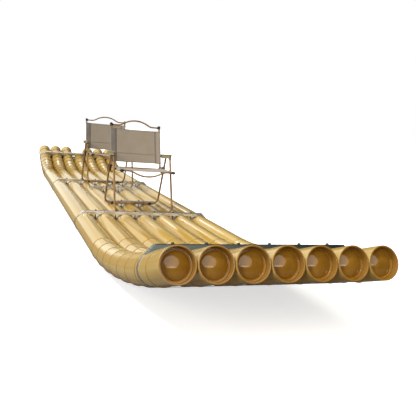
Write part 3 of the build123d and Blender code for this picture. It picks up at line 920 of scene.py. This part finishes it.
def seatCloth(name, front):
    rear, fore = [chairPoint(front, chair[spot]) for spot in ("seatRear", "seatFront")]
    along = (fore - rear).normalized()
    over = along.cross(Vector((0, 1, 0)))
    axes = (rear, Vector((0, 1, 0)), over, along)
    radius, side = cloth["sleeveRadius"], chair["seatHalf"]
    inner = side + radius - cloth["sleeveBand"]
    steps, columns = cloth["wrapSteps"], cloth["seatColumns"]
    turns = [math.pi * (0.5 - cloth["seatWrap"] * step / steps) for step in range(steps + 1)]
    rightHalf = [(side + radius * math.cos(turn), radius * math.sin(turn)) for turn in turns]
    lastX, lastHeight = rightHalf[-1]
    for part in (0.25, 0.5, 0.75, 1.0):
        height = lastHeight + (cloth["underRise"] - lastHeight) * part
        rightHalf.append((inner + (lastX - inner) * (1 - part), height))
    middle = []
    for step in range(1, columns):
        x = -side + 2 * side * step / columns
        middle.append((x, radius - cloth["seatSag"] * (1 - (x / side) ** 2)))
    section = [(-x, height) for x, height in rightHalf[::-1]] + middle + rightHalf
    cuts = [(run - cloth["notchHalf"], run + cloth["notchHalf"]) for run in pivotRuns()]
    start, length = cloth["seatInset"], cloth["seatLength"]
    extra = [(edge - start, 0.0) for cut in cuts for edge in cut if 0 < edge - start < length]
    bm, width = clothGrid(section, hemRows(start, length, extra), axes, None, cuts)
    stands = [f"chair_{name.lower()}_seat_fabric"]
    sling = finishPiece(bm, f"seatSling{name}", [finishes["canvas"]], stands)


for name, front in chair["fronts"].items():
    backCloth(name, front)
    seatCloth(name, front)
print("chair cloth made")


# Stage

stage = {
    "floorReach": 40.0,
    "floorRoughness": 0.9,
    "floorColour": (0.16, 0.13, 0.09),
    "seenFloor": (0.80, 0.80, 0.80),
    "seenGlow": 0.65,
    "mirroredShare": 0.06,
    "haze": (0.98, 1.0, 0.92),
    # brightness over x, y and z of the direction, from -1 at 0 to 1 at 1, multiplied together
    "backdrop": (
        ((0.0, 1.3), (0.40, 0.9), (0.60, 0.40), (0.85, 0.12)),
        ((0.0, 0.9), (0.45, 1.0), (0.56, 0.9), (0.61, 0.30), (0.64, 0.06), (1.0, 0.06)),
        (
            (0.44, 0.06),
            (0.50, 0.3),
            (0.52, 1.3),
            (0.575, 1.15),
            (0.60, 0.85),
            (0.75, 0.85),
            (0.9, 1.3),
        ),
    ),
    "suns": {
        "crownSun": {"strength": 1.9, "angle": 10.0, "from": (0.15, -0.55, 0.82)},
        "sternSun": {"strength": 0.035, "angle": 6.0, "from": (-0.92, -0.03, 0.38)},
        "frontSun": {"strength": 1.4, "angle": 25.0, "from": (0.50, -0.78, 0.38)},
    },
    "windowTint": (1.0, 0.92, 0.80),
    "windowTarget": (3.4, 0, 0.4),
    "windows": {
        "tallWindow": {"place": (9.2, -0.3, 4.6), "size": (7.6, 6.2), "power": 300.0},
        "lowWindow": {"place": (10.1, -0.6, 2.4), "size": (5.0, 0.5), "power": 32.0},
    },
}


def addLight(name, kind, place, turn, **values):
    lamp = bpy.data.lights.new(name, kind)
    for key, value in values.items():
        setattr(lamp, key, value)
    holder = bpy.data.objects.new(name, lamp)
    holder.location, holder.rotation_euler = place, turn
    bpy.context.scene.collection.objects.link(holder)
    return holder


def aimed(place, target):
    return (Vector(target) - Vector(place)).to_track_quat("-Z", "Y").to_euler()


def backgroundShare(tree):
    # the camera sees the plain background whole, mirrored and refracted rays see a share of it
    path = addNode(tree, "ShaderNodeLightPath")
    bent = {0: path.outputs["Is Glossy Ray"], 1: path.outputs["Is Transmission Ray"]}
    bent = addNode(tree, "ShaderNodeMath", bent, operation="ADD").outputs[0]
    values = {0: bent, 1: stage["mirroredShare"], 2: path.outputs["Is Camera Ray"]}
    return addNode(tree, "ShaderNodeMath", values, operation="MULTIPLY_ADD").outputs[0]


bm = bmesh.new()
bmesh.ops.create_grid(bm, x_segments=1, y_segments=1, size=stage["floorReach"])
floorMesh = bpy.data.meshes.new("floor")
bm.to_mesh(floorMesh)
bm.free()
floor = bpy.data.objects.new("floor", floorMesh)
bpy.context.scene.collection.objects.link(floor)
floorFinish, floorTree, floorShader = newMaterial("floorFinish", stage["floorRoughness"])
seen = backgroundShare(floorTree)
colour = blendColour(floorTree, seen, stage["floorColour"], stage["seenFloor"])
floorTree.links.new(colour, floorShader.inputs["Base Color"])
floorShader.inputs["Emission Color"].default_value = (1, 1, 1, 1)
lift = addNode(floorTree, "ShaderNodeMath", {0: seen, 1: stage["seenGlow"]}, operation="MULTIPLY")
floorTree.links.new(lift.outputs[0], floorShader.inputs["Emission Strength"])
floorMesh.materials.append(floorFinish)

world = bpy.data.worlds.new("softSky")
bpy.context.scene.world = world
world.use_nodes = True
skyTree = world.node_tree
way = addNode(skyTree, "ShaderNodeTexCoord").outputs["Generated"]
split = addNode(skyTree, "ShaderNodeSeparateXYZ", {0: way})
backdrop = stage["haze"]
for axis, levels in enumerate(stage["backdrop"]):
    values = {"Value": split.outputs[axis], "From Min": -1.0}
    place = addNode(skyTree, "ShaderNodeMapRange", values).outputs[0]
    level = ramp(skyTree, place, *[(at, (value,) * 3) for at, value in levels])
    backdrop = blendColour(skyTree, 1.0, backdrop, level, "MULTIPLY")
seen = blendColour(skyTree, backgroundShare(skyTree), backdrop, (1.0, 1.0, 1.0))
skyTree.links.new(seen, skyTree.nodes["Background"].inputs["Color"])

for name, sun in stage["suns"].items():
    values = {"energy": sun["strength"], "angle": math.radians(sun["angle"])}
    lamp = addLight(name, "SUN", (0, 0, 5), aimed(sun["from"], (0, 0, 0)), **values)
    lamp.visible_glossy = name != "frontSun"
for name, window in stage["windows"].items():
    width, height = window["size"]
    values = {"energy": window["power"], "shape": "ELLIPSE", "size": width, "size_y": height}
    values["color"] = stage["windowTint"]
    turn = aimed(window["place"], stage["windowTarget"])
    addLight(name, "AREA", window["place"], turn, **values)

camera = {
    "fromForeChair": (4.37457, -1.15011, 0.96225),
    "yaw": 0.3729,
    "pitch": 0.154,
    "roll": 0.0895,
    "lens": 47.19,
    "sensor": 36.0,
}
yaw, pitch, roll = camera["yaw"], camera["pitch"], camera["roll"]
level = math.cos(pitch)
ahead = Vector((-math.cos(yaw) * level, math.sin(yaw) * level, -math.sin(pitch)))
right = Vector((math.sin(yaw), math.cos(yaw), 0))
over = right.cross(ahead)
across = right * math.cos(roll) + over * math.sin(roll)
upward = over * math.cos(roll) - right * math.sin(roll)
lens = bpy.data.cameras.new("photoCamera")
lens.lens, lens.sensor_width = camera["lens"], camera["sensor"]
holder = bpy.data.objects.new("photoCamera", lens)
turn = Matrix((across, upward, -ahead)).transposed()
place = Vector((chair["fronts"]["Fore"], 0, 0)) + Vector(camera["fromForeChair"])
holder.matrix_world = Matrix.Translation(place) @ turn.to_4x4()
bpy.context.scene.collection.objects.link(holder)
bpy.context.scene.camera = holder
bpy.context.scene.view_settings.view_transform = "Standard"
print("stage made")
